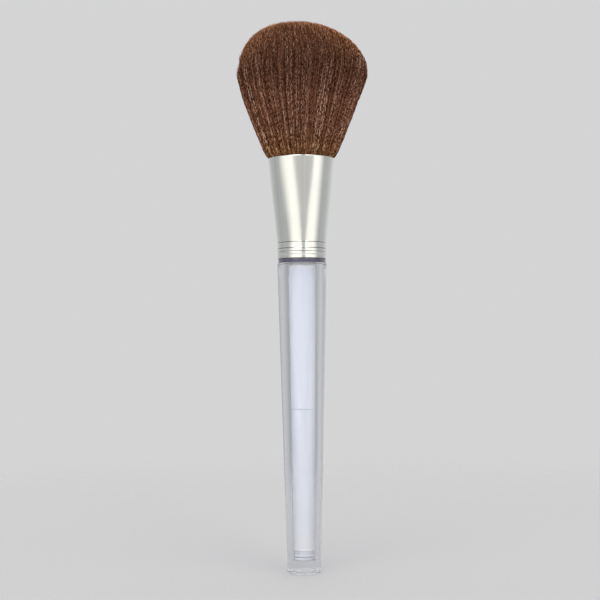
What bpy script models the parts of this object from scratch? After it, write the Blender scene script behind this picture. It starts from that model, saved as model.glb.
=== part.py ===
"""Powder brush, built upright on its flat foot, with the hair at the top.

A dense bundle of hair is set in resin inside a tapered metal ferrule. The ferrule is crimped on the
tenon of a thick, clear handle, over a dark collar ring. The handle's bore holds a satin core in two
lengths, with a thin cap at its lower end. Every turned piece shares the Z axis.
"""

import math

import bmesh
import bpy

# Driving dimensions in metres

FIT_GAP = 0.0003  # clearance between two pieces that seat on each other
JOIN_OVERRUN = 0.001  # how far a strand reaches into the slice that it grows from
MERGE_DISTANCE = 0.00001

HANDLE_LENGTH = 0.1031  # from the foot to the shoulder under the collar ring
FOOT_RADIUS = 0.0056
SHOULDER_RADIUS = 0.0083
FOOT_BEVEL = 0.0006
SHOULDER_BEVEL = 0.0002
FLOOR_THICKNESS = 0.0044  # the clear solid end below the bore
TENON_LENGTH = 0.0145
BORE_MOUTH_RADIUS = 0.0050
BORE_SEAM_RADIUS = 0.0043
BORE_FLOOR_RADIUS = 0.00375

LOWER_CORE_LENGTH = 0.0472
CORE_BEVEL = 0.0002
END_CAP_HEIGHT = 0.0020

COLLAR_HEIGHT = 0.0009
COLLAR_INSET = 0.00025  # how far the ring lies inside the ferrule's lower edge
COLLAR_BEVEL = 0.00015

FERRULE_LENGTH = 0.0337
FERRULE_WALL = 0.0005
FERRULE_LOWER_RADIUS = 0.00825
FERRULE_MOUTH_RADIUS = 0.01115
CRIMP_ZONE_HEIGHT = 0.0055  # the straight part of the ferrule, above its lower edge
CRIMP_DEPTH = 0.0002
CRIMP_WIDTH = 0.0006

GLUE_DEPTH = 0.0036
SLICE_DEPTH = 0.0030  # the slice of packed hair that the loose strands grow from
WAIST_HEIGHT = 0.0030  # the groove that the thread pulls into the hair root
WAIST_DEPTH = 0.0010
THREAD_CROWN = 0.0002  # how far the middle of the binding stands out from its edges

HAIR_LENGTH = 0.0457  # from the ferrule's mouth to the crown of the head
HEAD_RADIUS = 0.0225  # through the outer corners of the strands
CROWN_HEIGHT = 0.0177  # from the widest level of the head to its crown
TIP_LENGTH = 0.0022

# Shares and counts

CRIMP_PLACE_SHARES = (1.0, 0.59, 0.355, 0.14)  # of the way up the crimp zone, from the top down
WAIST_PLACE_SHARE = 0.42  # of the hair root's height
SPREAD_POWER = 1.5  # how soon the hair fans out above the ferrule
CROWN_POWER = 2.2  # 2 is a round crown, and more is a fuller one
STRAND_COUNT = 400
STRAND_SIDES = 3
SPIRAL_SPACING_SHARE = 1.5  # the least spacing on the spiral, times the root of the strand count
STRAND_FILL_SHARE = 0.46  # of that spacing that half a strand takes
MIDDLE_RING_SHARE = 0.42  # of the height from the ferrule's mouth to the widest level
TURN_STEPS = 48

# Heights above the foot

FERRULE_FOOT = HANDLE_LENGTH + FIT_GAP + COLLAR_HEIGHT + FIT_GAP
FERRULE_MOUTH = FERRULE_FOOT + FERRULE_LENGTH
TENON_TOP = HANDLE_LENGTH + TENON_LENGTH
GLUE_FOOT = TENON_TOP + FIT_GAP
HAIR_ROOT_FOOT = GLUE_FOOT + GLUE_DEPTH + FIT_GAP
SLICE_FOOT = FERRULE_MOUTH - SLICE_DEPTH
HAIR_ROOT_TOP = SLICE_FOOT - FIT_GAP
END_CAP_FOOT = FLOOR_THICKNESS + FIT_GAP
END_CAP_TOP = END_CAP_FOOT + END_CAP_HEIGHT
LOWER_CORE_FOOT = END_CAP_TOP + FIT_GAP
CORE_SEAM = LOWER_CORE_FOOT + LOWER_CORE_LENGTH
UPPER_CORE_FOOT = CORE_SEAM + FIT_GAP
CROWN = FERRULE_MOUTH + HAIR_LENGTH
WIDEST_LEVEL = CROWN - CROWN_HEIGHT

# Half a strand's width, as a share of the radius of the circle that holds the strands' middles
STRAND_WIDTH_SHARE = SPIRAL_SPACING_SHARE * STRAND_FILL_SHARE / math.sqrt(STRAND_COUNT)


def between(start, end, share):
    return start + (end - start) * share


def ferrule_radius(height):
    """The ferrule's outer radius at a height above the foot, without the crimps."""
    taper_foot = FERRULE_FOOT + CRIMP_ZONE_HEIGHT
    share = (height - taper_foot) / (FERRULE_MOUTH - taper_foot)
    return between(FERRULE_LOWER_RADIUS, FERRULE_MOUTH_RADIUS, max(0.0, share))


def packing_radius(height):
    """The radius of whatever fills the ferrule at a height."""
    return ferrule_radius(height) - FERRULE_WALL - FIT_GAP


def bore_radius(height):
    """The handle's bore, which tapers in two stretches that meet at the core's seam."""
    if height > CORE_SEAM:
        share = (height - CORE_SEAM) / (TENON_TOP - CORE_SEAM)
        return between(BORE_SEAM_RADIUS, BORE_MOUTH_RADIUS, share)
    share = (height - FLOOR_THICKNESS) / (CORE_SEAM - FLOOR_THICKNESS)
    return between(BORE_FLOOR_RADIUS, BORE_SEAM_RADIUS, share)


def core_radius(height):
    return bore_radius(height) - FIT_GAP


def tenon_radius():
    """The tenon clears the inner side of the crimps."""
    return FERRULE_LOWER_RADIUS - FERRULE_WALL - CRIMP_DEPTH - FIT_GAP


def new_material(name, colour, roughness, metallic=0.0, transmission=0.0):
    material = bpy.data.materials.new(name)
    material.use_nodes = True
    shader = material.node_tree.nodes["Principled BSDF"]
    shader.inputs["Base Color"].default_value = (*colour, 1.0)
    shader.inputs["Roughness"].default_value = roughness
    shader.inputs["Metallic"].default_value = metallic
    shader.inputs["Transmission Weight"].default_value = transmission
    material.diffuse_color = (*colour, 1.0)
    return material


def start_scene():
    """Empties the scene, and adds one collection for the parts and one for the cutters."""
    for old in list(bpy.data.objects):
        bpy.data.objects.remove(old, do_unlink=True)
    collections = []
    for name in ("powder_brush", "construction"):
        collection = bpy.data.collections.new(name)
        bpy.context.scene.collection.children.link(collection)
        collections.append(collection)
    return collections


def turned(name, profile, material, closed=False):
    """A piece turned on the Z axis. The profile holds (radius, height above the foot) pairs, and runs
    down the outer side. The object stands at the height of the profile's lowest point."""
    seat = min(height for radius, height in profile)
    mesh = bpy.data.meshes.new(name)
    points = [(radius, 0.0, height - seat) for radius, height in profile]
    edges = [(i, i + 1) for i in range(len(points) - 1)]
    if closed:
        edges.append((len(points) - 1, 0))
    mesh.from_pydata(points, edges, [])
    piece = bpy.data.objects.new(name, mesh)
    parts.objects.link(piece)
    piece.parent = brush
    piece.location = (0.0, 0.0, seat)
    mesh.materials.append(material)
    screw = piece.modifiers.new("turn", "SCREW")
    screw.axis = "Z"
    screw.angle = math.tau
    screw.steps = TURN_STEPS
    screw.render_steps = TURN_STEPS
    screw.use_merge_vertices = True
    screw.merge_threshold = MERGE_DISTANCE
    screw.use_smooth_shade = True
    return piece


def add_handle_sleeve(material):
    """The clear handle: a tapered outer side with a tenon at its top and a blind bore."""
    profile = [
        (0.0, FLOOR_THICKNESS),
        (BORE_FLOOR_RADIUS, FLOOR_THICKNESS),
        (BORE_SEAM_RADIUS, CORE_SEAM),
        (BORE_MOUTH_RADIUS, TENON_TOP),
        (tenon_radius(), TENON_TOP),
        (tenon_radius(), HANDLE_LENGTH),
        (SHOULDER_RADIUS - SHOULDER_BEVEL, HANDLE_LENGTH),
        (SHOULDER_RADIUS, HANDLE_LENGTH - SHOULDER_BEVEL),
        (FOOT_RADIUS, FOOT_BEVEL),
        (FOOT_RADIUS - FOOT_BEVEL, 0.0),
        (0.0, 0.0),
    ]
    return turned("handle_sleeve", profile, material)


def add_core(name, foot, top, material):
    """A length of the core or its end cap, which follows the bore's taper."""
    profile = [
        (0.0, top),
        (core_radius(top) - CORE_BEVEL, top),
        (core_radius(top), top - CORE_BEVEL),
        (core_radius(foot), foot + CORE_BEVEL),
        (core_radius(foot) - CORE_BEVEL, foot),
        (0.0, foot),
    ]
    return turned(name, profile, material)


def add_collar_ring(material):
    """The dark ring round the tenon, between the handle's shoulder and the ferrule."""
    foot = HANDLE_LENGTH + FIT_GAP
    top = foot + COLLAR_HEIGHT
    outer = FERRULE_LOWER_RADIUS - COLLAR_INSET
    inner = tenon_radius() + FIT_GAP
    profile = [
        (outer - COLLAR_BEVEL, top),
        (outer, top - COLLAR_BEVEL),
        (outer, foot + COLLAR_BEVEL),
        (outer - COLLAR_BEVEL, foot),
        (inner, foot),
        (inner, top),
    ]
    return turned("collar_ring", profile, material, closed=True)


def add_ferrule(material):
    """A thin shell: a taper above a straight zone with rolled crimps."""
    lowest = FERRULE_FOOT + CRIMP_WIDTH / 2
    highest = FERRULE_FOOT + CRIMP_ZONE_HEIGHT - CRIMP_WIDTH / 2
    profile = [(FERRULE_MOUTH_RADIUS, FERRULE_MOUTH)]
    for share in CRIMP_PLACE_SHARES:
        middle = between(lowest, highest, share)
        profile.append((FERRULE_LOWER_RADIUS, middle + CRIMP_WIDTH / 2))
        profile.append((FERRULE_LOWER_RADIUS - CRIMP_DEPTH, middle))
        profile.append((FERRULE_LOWER_RADIUS, middle - CRIMP_WIDTH / 2))
    profile.append((FERRULE_LOWER_RADIUS, FERRULE_FOOT))
    ferrule = turned("ferrule", profile, material)
    wall = ferrule.modifiers.new("wall", "SOLIDIFY")
    wall.thickness = FERRULE_WALL
    wall.offset = -1.0
    wall.use_even_offset = True
    return ferrule


def add_glue_plug(material):
    top = GLUE_FOOT + GLUE_DEPTH
    profile = [
        (0.0, top),
        (packing_radius(top), top),
        (packing_radius(GLUE_FOOT), GLUE_FOOT),
        (0.0, GLUE_FOOT),
    ]
    return turned("glue_plug", profile, material)


def waist_levels():
    """The lower and upper level of the groove that the binding thread lies in."""
    middle = between(HAIR_ROOT_FOOT, HAIR_ROOT_TOP, WAIST_PLACE_SHARE)
    return middle - WAIST_HEIGHT / 2, middle + WAIST_HEIGHT / 2


def waist_radius():
    """The hair root's radius inside the groove."""
    lower, upper = waist_levels()
    return packing_radius(lower) - WAIST_DEPTH


def add_hair_root(material):
    lower, upper = waist_levels()
    profile = [
        (0.0, HAIR_ROOT_TOP),
        (packing_radius(HAIR_ROOT_TOP), HAIR_ROOT_TOP),
        (packing_radius(upper), upper),
        (waist_radius(), upper),
        (waist_radius(), lower),
        (packing_radius(lower), lower),
        (packing_radius(HAIR_ROOT_FOOT), HAIR_ROOT_FOOT),
        (0.0, HAIR_ROOT_FOOT),
    ]
    return turned("hair_root", profile, material)


def add_binding_thread(material):
    """The wound thread as one crowned band in the hair root's groove."""
    lower, upper = waist_levels()
    foot = lower + FIT_GAP
    top = upper - FIT_GAP
    inner = waist_radius() + FIT_GAP
    outer = packing_radius(lower) - THREAD_CROWN
    profile = [
        (outer, top),
        (outer + THREAD_CROWN, (foot + top) / 2),
        (outer, foot),
        (inner, foot),
        (inner, top),
    ]
    return turned("binding_thread", profile, material, closed=True)


def strand_circle(height):
    """The radius of the circle that holds the middles of the strands at a height. It grows from the
    ferrule's mouth to the head's widest level, and stays the same above it."""
    share = (height - FERRULE_MOUTH) / (WIDEST_LEVEL - FERRULE_MOUTH)
    fan = 1.0 - (1.0 - min(1.0, share)) ** SPREAD_POWER
    outside = between(packing_radius(FERRULE_MOUTH), HEAD_RADIUS, fan)
    return outside / (1.0 + STRAND_WIDTH_SHARE)


def strand_points(number):
    """The points of one strand as (x, y, z, half width), from its root to its tip. The roots lie on a
    sunflower spiral, and every strand fans out by the same rule, so no two strands cross."""
    share = math.sqrt((number + 0.5) / STRAND_COUNT)
    turn = number * math.pi * (3.0 - math.sqrt(5.0))
    tip_level = WIDEST_LEVEL + CROWN_HEIGHT * (1.0 - share**CROWN_POWER) ** (1.0 / CROWN_POWER)
    levels = (
        FERRULE_MOUTH - JOIN_OVERRUN,
        between(FERRULE_MOUTH, WIDEST_LEVEL, MIDDLE_RING_SHARE),
        tip_level - TIP_LENGTH,
        tip_level,
    )
    points = []
    for level in levels:
        out = strand_circle(level) * share
        width = 0.0 if level == tip_level else strand_circle(level) * STRAND_WIDTH_SHARE
        points.append((out * math.cos(turn), out * math.sin(turn), level, width))
    return points


def strand_section():
    """The cross-section that every strand is swept with."""
    section = bpy.data.curves.new("strand_section", "CURVE")
    outline = section.splines.new("POLY")
    outline.points.add(STRAND_SIDES - 1)
    outline.use_cyclic_u = True
    for corner, point in enumerate(outline.points):
        turn = math.tau * corner / STRAND_SIDES
        point.co = (math.cos(turn), math.sin(turn), 0.0, 1.0)
    guide = bpy.data.objects.new("strand_section", section)
    construction.objects.link(guide)
    guide.hide_render = True
    guide.display_type = "WIRE"
    return guide


def swept_strands(section):
    """All strands as one mesh, which is joined to the slice of packed hair."""
    curve = bpy.data.curves.new("strand_paths", "CURVE")
    curve.dimensions = "3D"
    curve.bevel_mode = "OBJECT"
    curve.bevel_object = section
    curve.use_fill_caps = True
    for number in range(STRAND_COUNT):
        points = strand_points(number)
        spline = curve.splines.new("POLY")
        spline.points.add(len(points) - 1)
        for point, (x, y, z, width) in zip(spline.points, points):
            point.co = (x, y, z, 1.0)
            point.radius = width
    paths = bpy.data.objects.new("strand_paths", curve)
    construction.objects.link(paths)
    bpy.context.view_layer.update()
    graph = bpy.context.evaluated_depsgraph_get()
    mesh = bpy.data.meshes.new_from_object(paths.evaluated_get(graph), depsgraph=graph)
    mesh.name = "strands"
    work = bmesh.new()
    work.from_mesh(mesh)
    bmesh.ops.remove_doubles(work, verts=work.verts, dist=MERGE_DISTANCE)
    bmesh.ops.recalc_face_normals(work, faces=work.faces)
    work.to_mesh(mesh)
    work.free()
    strands = bpy.data.objects.new("strands", mesh)
    strands.matrix_world = paths.matrix_world
    construction.objects.link(strands)
    strands.hide_render = True
    strands.display_type = "WIRE"
    bpy.data.objects.remove(paths, do_unlink=True)
    return strands


def add_bristles(material):
    """The loose hair as tapered locks, on the top slice of the packed hair."""
    profile = [
        (0.0, FERRULE_MOUTH),
        (packing_radius(FERRULE_MOUTH), FERRULE_MOUTH),
        (packing_radius(SLICE_FOOT), SLICE_FOOT),
        (0.0, SLICE_FOOT),
    ]
    bristles = turned("bristles", profile, material)
    strands = swept_strands(strand_section())
    strands.data.materials.append(material)
    grow = bristles.modifiers.new("grow", "BOOLEAN")
    grow.operation = "UNION"
    grow.solver = "EXACT"
    grow.object = strands
    return bristles


# Build

parts, construction = start_scene()
brush = bpy.data.objects.new("brush_axis", None)
parts.objects.link(brush)

clear_acrylic = new_material("clear_acrylic", (0.80, 0.81, 0.85), 0.05, transmission=0.9)
satin_core = new_material("satin_core", (0.70, 0.72, 0.84), 0.45)
grey_core = new_material("grey_core", (0.58, 0.58, 0.62), 0.45)
collar_violet = new_material("collar_violet", (0.10, 0.09, 0.15), 0.4)
polished_metal = new_material("polished_metal", (0.83, 0.83, 0.80), 0.18, metallic=1.0)
cured_glue = new_material("cured_glue", (0.55, 0.42, 0.20), 0.3)
resin_hair = new_material("resin_hair", (0.08, 0.04, 0.02), 0.6)
waxed_thread = new_material("waxed_thread", (0.75, 0.70, 0.58), 0.7)
brown_hair = new_material("brown_hair", (0.115, 0.052, 0.033), 0.6)

add_handle_sleeve(clear_acrylic)
add_core("lower_core", LOWER_CORE_FOOT, CORE_SEAM, grey_core)
add_core("upper_core", UPPER_CORE_FOOT, TENON_TOP, satin_core)
add_core("core_end_cap", END_CAP_FOOT, END_CAP_TOP, grey_core)
add_collar_ring(collar_violet)
add_ferrule(polished_metal)
add_glue_plug(cured_glue)
add_hair_root(resin_hair)
add_binding_thread(waxed_thread)
add_bristles(brown_hair)
bpy.context.view_layer.update()
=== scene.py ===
"""The looks of the powder brush: a pale studio, a camera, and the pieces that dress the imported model.

The hair is modelled strand by strand. The turned pieces are modelled again with fine rounds, and the
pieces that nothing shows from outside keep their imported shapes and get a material.
"""

import math
from collections import namedtuple

import bpy
import numpy as np
from mathutils import Matrix, Vector, kdtree


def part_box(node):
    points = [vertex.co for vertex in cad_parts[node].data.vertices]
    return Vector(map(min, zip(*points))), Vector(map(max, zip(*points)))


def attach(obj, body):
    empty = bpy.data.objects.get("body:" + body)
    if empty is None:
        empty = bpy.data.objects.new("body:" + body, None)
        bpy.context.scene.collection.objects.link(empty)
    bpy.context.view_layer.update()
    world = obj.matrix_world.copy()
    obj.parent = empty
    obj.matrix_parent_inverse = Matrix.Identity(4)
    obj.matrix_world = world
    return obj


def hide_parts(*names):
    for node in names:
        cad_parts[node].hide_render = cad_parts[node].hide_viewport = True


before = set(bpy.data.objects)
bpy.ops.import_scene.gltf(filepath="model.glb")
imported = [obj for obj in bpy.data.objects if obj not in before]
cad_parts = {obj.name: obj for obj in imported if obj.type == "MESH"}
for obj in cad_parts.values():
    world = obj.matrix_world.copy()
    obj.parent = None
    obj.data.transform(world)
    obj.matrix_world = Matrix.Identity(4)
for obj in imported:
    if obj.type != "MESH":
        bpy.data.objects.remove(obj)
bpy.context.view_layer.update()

# Sizes in metres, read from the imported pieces

SLEEVE_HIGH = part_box("handle_sleeve")[1]
FERRULE_LOW, FERRULE_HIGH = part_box("ferrule")
COLLAR_LOW, COLLAR_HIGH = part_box("collar_ring")
UPPER_CORE_LOW, UPPER_CORE_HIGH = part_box("upper_core")
LOWER_CORE_LOW, LOWER_CORE_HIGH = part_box("lower_core")
CAP_LOW, CAP_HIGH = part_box("core_end_cap")
HAIR_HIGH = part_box("bristles")[1]

FIT_GAP = UPPER_CORE_LOW.z - LOWER_CORE_HIGH.z
SHOULDER = COLLAR_LOW.z - FIT_GAP  # the level of the handle's shoulder
TENON_TOP = SLEEVE_HIGH.z
FERRULE_FOOT = FERRULE_LOW.z
FERRULE_MOUTH = FERRULE_HIGH.z
CROWN = HAIR_HIGH.z
SHOULDER_RADIUS = SLEEVE_HIGH.x
MOUTH_RADIUS = FERRULE_HIGH.x
BORE_MOUTH_RADIUS = UPPER_CORE_HIGH.x + FIT_GAP
BORE_SEAM_RADIUS = LOWER_CORE_HIGH.x + FIT_GAP
BORE_FLOOR_RADIUS = CAP_HIGH.x + FIT_GAP
BORE_FLOOR = CAP_LOW.z - FIT_GAP

# Sizes in metres that the boxes don't give

FOOT_RADIUS = 0.0056
FOOT_CHAMFER = 0.0006
# The painted light on the chamfer's tint fades out between the same levels.
GROUND_LEVELS = (FOOT_CHAMFER * 1.15, FOOT_CHAMFER * 1.4)  # where its ground finish fades out
TENON_RADIUS = 0.00725
SOFT_EDGE = 0.00015  # the round on a moulded or turned edge
COLLAR_EDGE = SOFT_EDGE / 3
COLLAR_GAP_SHARE = 0.8  # how much of the gaps over and under it the collar fills
LOWER_RADIUS = 0.00825  # of the ferrule below its taper
CRIMP_ZONE = 0.0055  # the height of the straight part of the ferrule
CRIMP_DEPTH = 0.0002
CRIMP_WIDTH = 0.0003
CRIMP_PLACE_SHARES = (0.99, 0.61, 0.40, 0.20)
CRIMP_DEPTH_SHARES = (0.85, 0.9, 0.72, 0.5)
CRIMP_SHADE_AND_GRIME_RADII = (  # between which a crimp's painted shade and grime fade out
    LOWER_RADIUS - CRIMP_DEPTH,
    LOWER_RADIUS - CRIMP_DEPTH * 0.15,
)
FERRULE_WALL = 0.0004
FERRULE_FOOT_ROUND = FERRULE_WALL / 2.2
MOUTH_INNER_ROUND = SOFT_EDGE / 2
MOUTH_OUTER_ROUND = 0.0003  # of the rolled lip
SHOULDER_ROUND = 0.00012
SEAM_GAP = 0.00007  # between pieces that meet at a seam
CAP_RISE = 0.0008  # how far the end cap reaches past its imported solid, under the core
CAP_RADIUS = 0.0031
CAP_EDGE = SOFT_EDGE / 4
CAP_RIM_LEVEL = 0.00138  # of the upper edge of its rim, above its packed foot
CAP_RIM_HEIGHT = 0.0003
CAP_RIM_REACH = 0.00012  # how far the rim stands out
CAP_GROOVE_WIDTH = 0.00035
CAP_GROOVE_DEPTH = 0.0005
CAP_BLEND_SHARE = 0.2  # of the groove's width, over which the cap's tones change
# On the lower length of the core, this edge's tone is a painted highlight.
CORE_END_HEIGHT = 0.00035  # of the edge round the lower end of a length of the core
CORE_END_BLEND_SHARE = 1.3  # of that height, where the edge's tone has gone
# On the upper length of the core, the tone at its top is painted light against the shade under the
# collar.
CORE_TOP_HEIGHT = 0.0022  # of the stretch at its upper end where the tone changes
CORE_TOP_SHARE = 0.6  # of that stretch, above which the tone stays
SATIN_ROUGHNESS = (0.34, 0.46)  # of the core and its end cap

# How the turned pieces are meshed

TURN_STEPS = 160
FILLET_STEPS = 5
MERGE_DISTANCE = 0.000001
SHARP_ANGLE = 25.0  # in degrees, above which an edge stays sharp
AREA_WEIGHT = 100  # how much the larger faces set the shading

# The hair's UV map, whose columns are its tones, and the painted glints and shade specks along them

HAIR_MAP = "OFBake"  # carries each strand's tone and the way from root to tip
TONE_COLUMNS = 64
COLUMN_STEP = 7.31  # between the noise of one tone column and the next
PAINTED_GLINT_RATE = 40.0  # how fast that noise runs along a strand
PLAIN_STRANDS = (0.45, 0.85)  # the chances between which a tone column loses its painted glints

# The camera. Places are in metres, turns in degrees, and its lens and sensor in millimetres

CAMERA_PLACE = (-0.00076, -0.425, 0.0755)
CAMERA_PITCH = 2.06
CAMERA_ROLL = -0.43
CAMERA_LENS = 76.0
CAMERA_SENSOR = 36.0
CAMERA_NEAR = 0.01


def between(start, end, share):
    return start + (end - start) * share


def grey(tone):
    """A grey colour with its alpha."""
    return (tone, tone, tone, 1.0)


def add_object(name, data):
    """A new object in the scene."""
    piece = bpy.data.objects.new(name, data)
    bpy.context.scene.collection.objects.link(piece)
    return piece


# Node helpers


def add_node(tree, kind, settings=(), **inputs):
    """A node of one kind. Settings are (name, value) pairs. Inputs are values or sockets, by the
    socket's name with underscores for spaces."""
    node = tree.nodes.new(kind)
    for name, value in settings:
        setattr(node, name, value)
    for name, value in inputs.items():
        socket = node.inputs[name.replace("_", " ")]
        if isinstance(value, bpy.types.NodeSocket):
            tree.links.new(value, socket)
        else:
            socket.default_value = value
    return node


def add_ramp(tree, factor, stops):
    """A colour ramp. Stops are (place, colour) pairs."""
    node = tree.nodes.new("ShaderNodeValToRGB")
    tree.links.new(factor, node.inputs["Fac"])
    elements = node.color_ramp.elements
    while len(elements) < len(stops):
        elements.new(1.0)
    for element, (place, colour) in zip(elements, stops):
        element.position = place
        element.color = (*colour, 1.0)
    return node.outputs["Color"]


def add_range(tree, value, low, high):
    """Maps 0..1 to low..high."""
    node = add_node(tree, "ShaderNodeMapRange", Value=value, To_Min=low, To_Max=high)
    return node.outputs["Result"]


def add_noise(tree, scale, detail=3.0, stretch=(1.0, 1.0, 1.0)):
    """Noise over the piece. Stretch multiplies the coordinates along each axis."""
    place = add_node(tree, "ShaderNodeTexCoord")
    mapping = add_node(tree, "ShaderNodeMapping", Vector=place.outputs["Object"], Scale=stretch)
    noise = add_node(
        tree, "ShaderNodeTexNoise", Vector=mapping.outputs["Vector"], Scale=scale, Detail=detail
    )
    return noise.outputs["Fac"]


def add_height(tree, low, high):
    """0 at one level of the piece and 1 at another."""
    place = add_node(tree, "ShaderNodeTexCoord")
    axes = add_node(tree, "ShaderNodeSeparateXYZ", Vector=place.outputs["Object"])
    node = add_node(
        tree, "ShaderNodeMapRange", Value=axes.outputs["Z"], From_Min=low, From_Max=high
    )
    return node.outputs["Result"]


def add_mix(tree, factor, first, second, blend="MIX"):
    """A mix of two colours."""
    node = tree.nodes.new("ShaderNodeMix")
    node.data_type = "RGBA"
    node.blend_type = blend
    factor_input, first_input, second_input = node.inputs[0], node.inputs[6], node.inputs[7]
    for socket, value in ((factor_input, factor), (first_input, first), (second_input, second)):
        if isinstance(value, bpy.types.NodeSocket):
            tree.links.new(value, socket)
        else:
            socket.default_value = value
    return node.outputs[2]


def add_math(tree, operation, first, second=0.0):
    """One sum on two numbers or sockets."""
    node = tree.nodes.new("ShaderNodeMath")
    node.operation = operation
    for socket, value in zip(node.inputs, (first, second)):
        if isinstance(value, bpy.types.NodeSocket):
            tree.links.new(value, socket)
        else:
            socket.default_value = value
    return node.outputs["Value"]


def add_step(tree, value, low, high):
    """A soft step from 0 at one value to 1 at another."""
    node = add_node(
        tree,
        "ShaderNodeMapRange",
        (("interpolation_type", "SMOOTHSTEP"),),
        Value=value,
        From_Min=low,
        From_Max=high,
    )
    return node.outputs["Result"]


def add_diamond(tree, value, middle, reach):
    """1 at one value, falling evenly to 0 at a distance from it on both sides."""
    off = add_math(tree, "ABSOLUTE", add_math(tree, "SUBTRACT", value, middle))
    near = add_math(tree, "SUBTRACT", 1.0, add_math(tree, "DIVIDE", off, reach))
    return add_math(tree, "MAXIMUM", near, 0.0)


def add_radius(tree):
    """The distance from the brush's axis."""
    place = add_node(tree, "ShaderNodeTexCoord")
    flat = add_node(
        tree, "ShaderNodeVectorMath", (("operation", "MULTIPLY"),), Vector=place.outputs["Object"]
    )
    flat.inputs[1].default_value = (1.0, 1.0, 0.0)
    length = add_node(
        tree, "ShaderNodeVectorMath", (("operation", "LENGTH"),), Vector=flat.outputs["Vector"]
    )
    return length.outputs["Value"]


def add_bump(tree, height, strength, distance):
    node = add_node(tree, "ShaderNodeBump", Height=height, Strength=strength, Distance=distance)
    return node.outputs["Normal"]


def start_material(name):
    """A new material, its node tree and its Principled shader."""
    material = bpy.data.materials.new(name)
    material.use_nodes = True
    tree = material.node_tree
    return material, tree, tree.nodes["Principled BSDF"]


def show_mix(tree, factor, shader, other):
    """Sets the material's surface to a mix of its own shader and another."""
    mix = add_node(tree, "ShaderNodeMixShader", Fac=factor)
    tree.links.new(shader.outputs["BSDF"], mix.inputs[1])
    tree.links.new(other.outputs["BSDF"], mix.inputs[2])
    tree.links.new(mix.outputs["Shader"], tree.nodes["Material Output"].inputs["Surface"])


def set_shader(tree, shader, **inputs):
    for name, value in inputs.items():
        socket = shader.inputs[name.replace("_", " ")]
        if isinstance(value, bpy.types.NodeSocket):
            tree.links.new(value, socket)
        else:
            socket.default_value = value


# Materials


def clear_acrylic():
    """Clear, faintly lavender acrylic, ground at the foot's chamfer. Its tint is paler at the chamfer,
    which is painted light, and a little darker near the foot and under the shoulder, which is painted
    shade. Its shadow is clear too.
    """
    material, tree, shader = start_material("clear_acrylic")
    handling = add_noise(tree, 260.0, detail=5.0, stretch=(1.0, 1.0, 0.35))
    polished = add_range(tree, handling, 0.0, 0.03)
    above = add_height(tree, *GROUND_LEVELS)
    roughness = add_math(tree, "MAXIMUM", polished, add_range(tree, above, 0.6, 0.0))
    # The tint is a little darker near the foot and under the shoulder: painted shade.
    tint_and_painted_shade = add_ramp(
        tree,
        add_height(tree, 0.0, SHOULDER),
        [
            (0.08, (0.815, 0.825, 0.855)),
            (0.30, (0.825, 0.835, 0.87)),
            (0.85, (0.825, 0.835, 0.87)),
            (1.0, (0.80, 0.81, 0.85)),
        ],
    )
    # The paler tint on the ground chamfer is painted light.
    tone = add_mix(tree, above, (0.93, 0.935, 0.96, 1.0), tint_and_painted_shade)
    set_shader(
        tree, shader, Base_Color=tone, Roughness=roughness, IOR=1.49, Transmission_Weight=1.0
    )
    path = add_node(tree, "ShaderNodeLightPath")
    clear = add_node(tree, "ShaderNodeBsdfTransparent", Color=(0.97, 0.97, 0.98, 1.0))
    show_mix(tree, path.outputs["Is Shadow Ray"], shader, clear)
    return material


def satin_core(name, low, high, colours):
    """Satin plastic with a fine lengthwise grain. The four colours are those of its lower edge, of the
    stretch above that edge, of the level where its upper end starts, and of the upper end."""
    material, tree, shader = start_material(name)
    edge, lower, upper, end = colours
    edge_share = CORE_END_HEIGHT / (high - low)
    upper_share = 1.0 - CORE_TOP_HEIGHT / (high - low)
    # A lighter lower edge or upper end among the colours is painted light.
    stops = [
        (0.0, edge),
        (edge_share, edge),
        (edge_share * CORE_END_BLEND_SHARE, lower),
        (upper_share, upper),
        (between(upper_share, 1.0, CORE_TOP_SHARE), end),
    ]
    tone = add_ramp(tree, add_height(tree, low, high), stops)
    grain = add_noise(tree, 900.0, stretch=(1.0, 1.0, 0.04))
    shade = add_ramp(tree, grain, [(0.3, (0.97, 0.97, 0.97)), (0.7, (1.0, 1.0, 1.0))])
    set_shader(
        tree,
        shader,
        Base_Color=add_mix(tree, 1.0, tone, shade, "MULTIPLY"),
        Roughness=add_range(tree, grain, *SATIN_ROUGHNESS),
        Normal=add_bump(tree, grain, 0.15, 0.00003),
    )
    return material


def end_cap(foot, rim_foot, rim_top, top):
    """Satin light grey, with a painted highlight on its rim and painted shade in the groove under it.
    """
    material, tree, shader = start_material("end_cap")
    grain = add_noise(tree, 900.0)
    foot_tone = (0.74, 0.745, 0.765)
    # painted shade in the groove
    groove_painted_shade = (0.66, 0.665, 0.68)
    # painted highlight on the rim
    rim_painted_highlight = (0.98, 0.985, 1.0)
    body_tone = (0.72, 0.725, 0.745)
    groove = rim_foot - CAP_GROOVE_WIDTH
    blend = CAP_GROOVE_WIDTH * CAP_BLEND_SHARE
    levels = (
        (foot, foot_tone),
        (groove, foot_tone),
        (groove + blend, groove_painted_shade),
        (rim_foot - blend, groove_painted_shade),
        (rim_foot, rim_painted_highlight),
        (rim_top, rim_painted_highlight),
        (rim_top + blend, body_tone),
        (top, body_tone),
    )
    stops = [((level - foot) / (top - foot), colour) for level, colour in levels]
    tone = add_ramp(tree, add_height(tree, foot, top), stops)
    shade = add_ramp(tree, grain, [(0.3, (0.96, 0.96, 0.96)), (0.7, (1.0, 1.0, 1.0))])
    set_shader(
        tree,
        shader,
        Base_Color=add_mix(tree, 1.0, tone, shade, "MULTIPLY"),
        Roughness=add_range(tree, grain, *SATIN_ROUGHNESS),
    )
    return material


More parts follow.
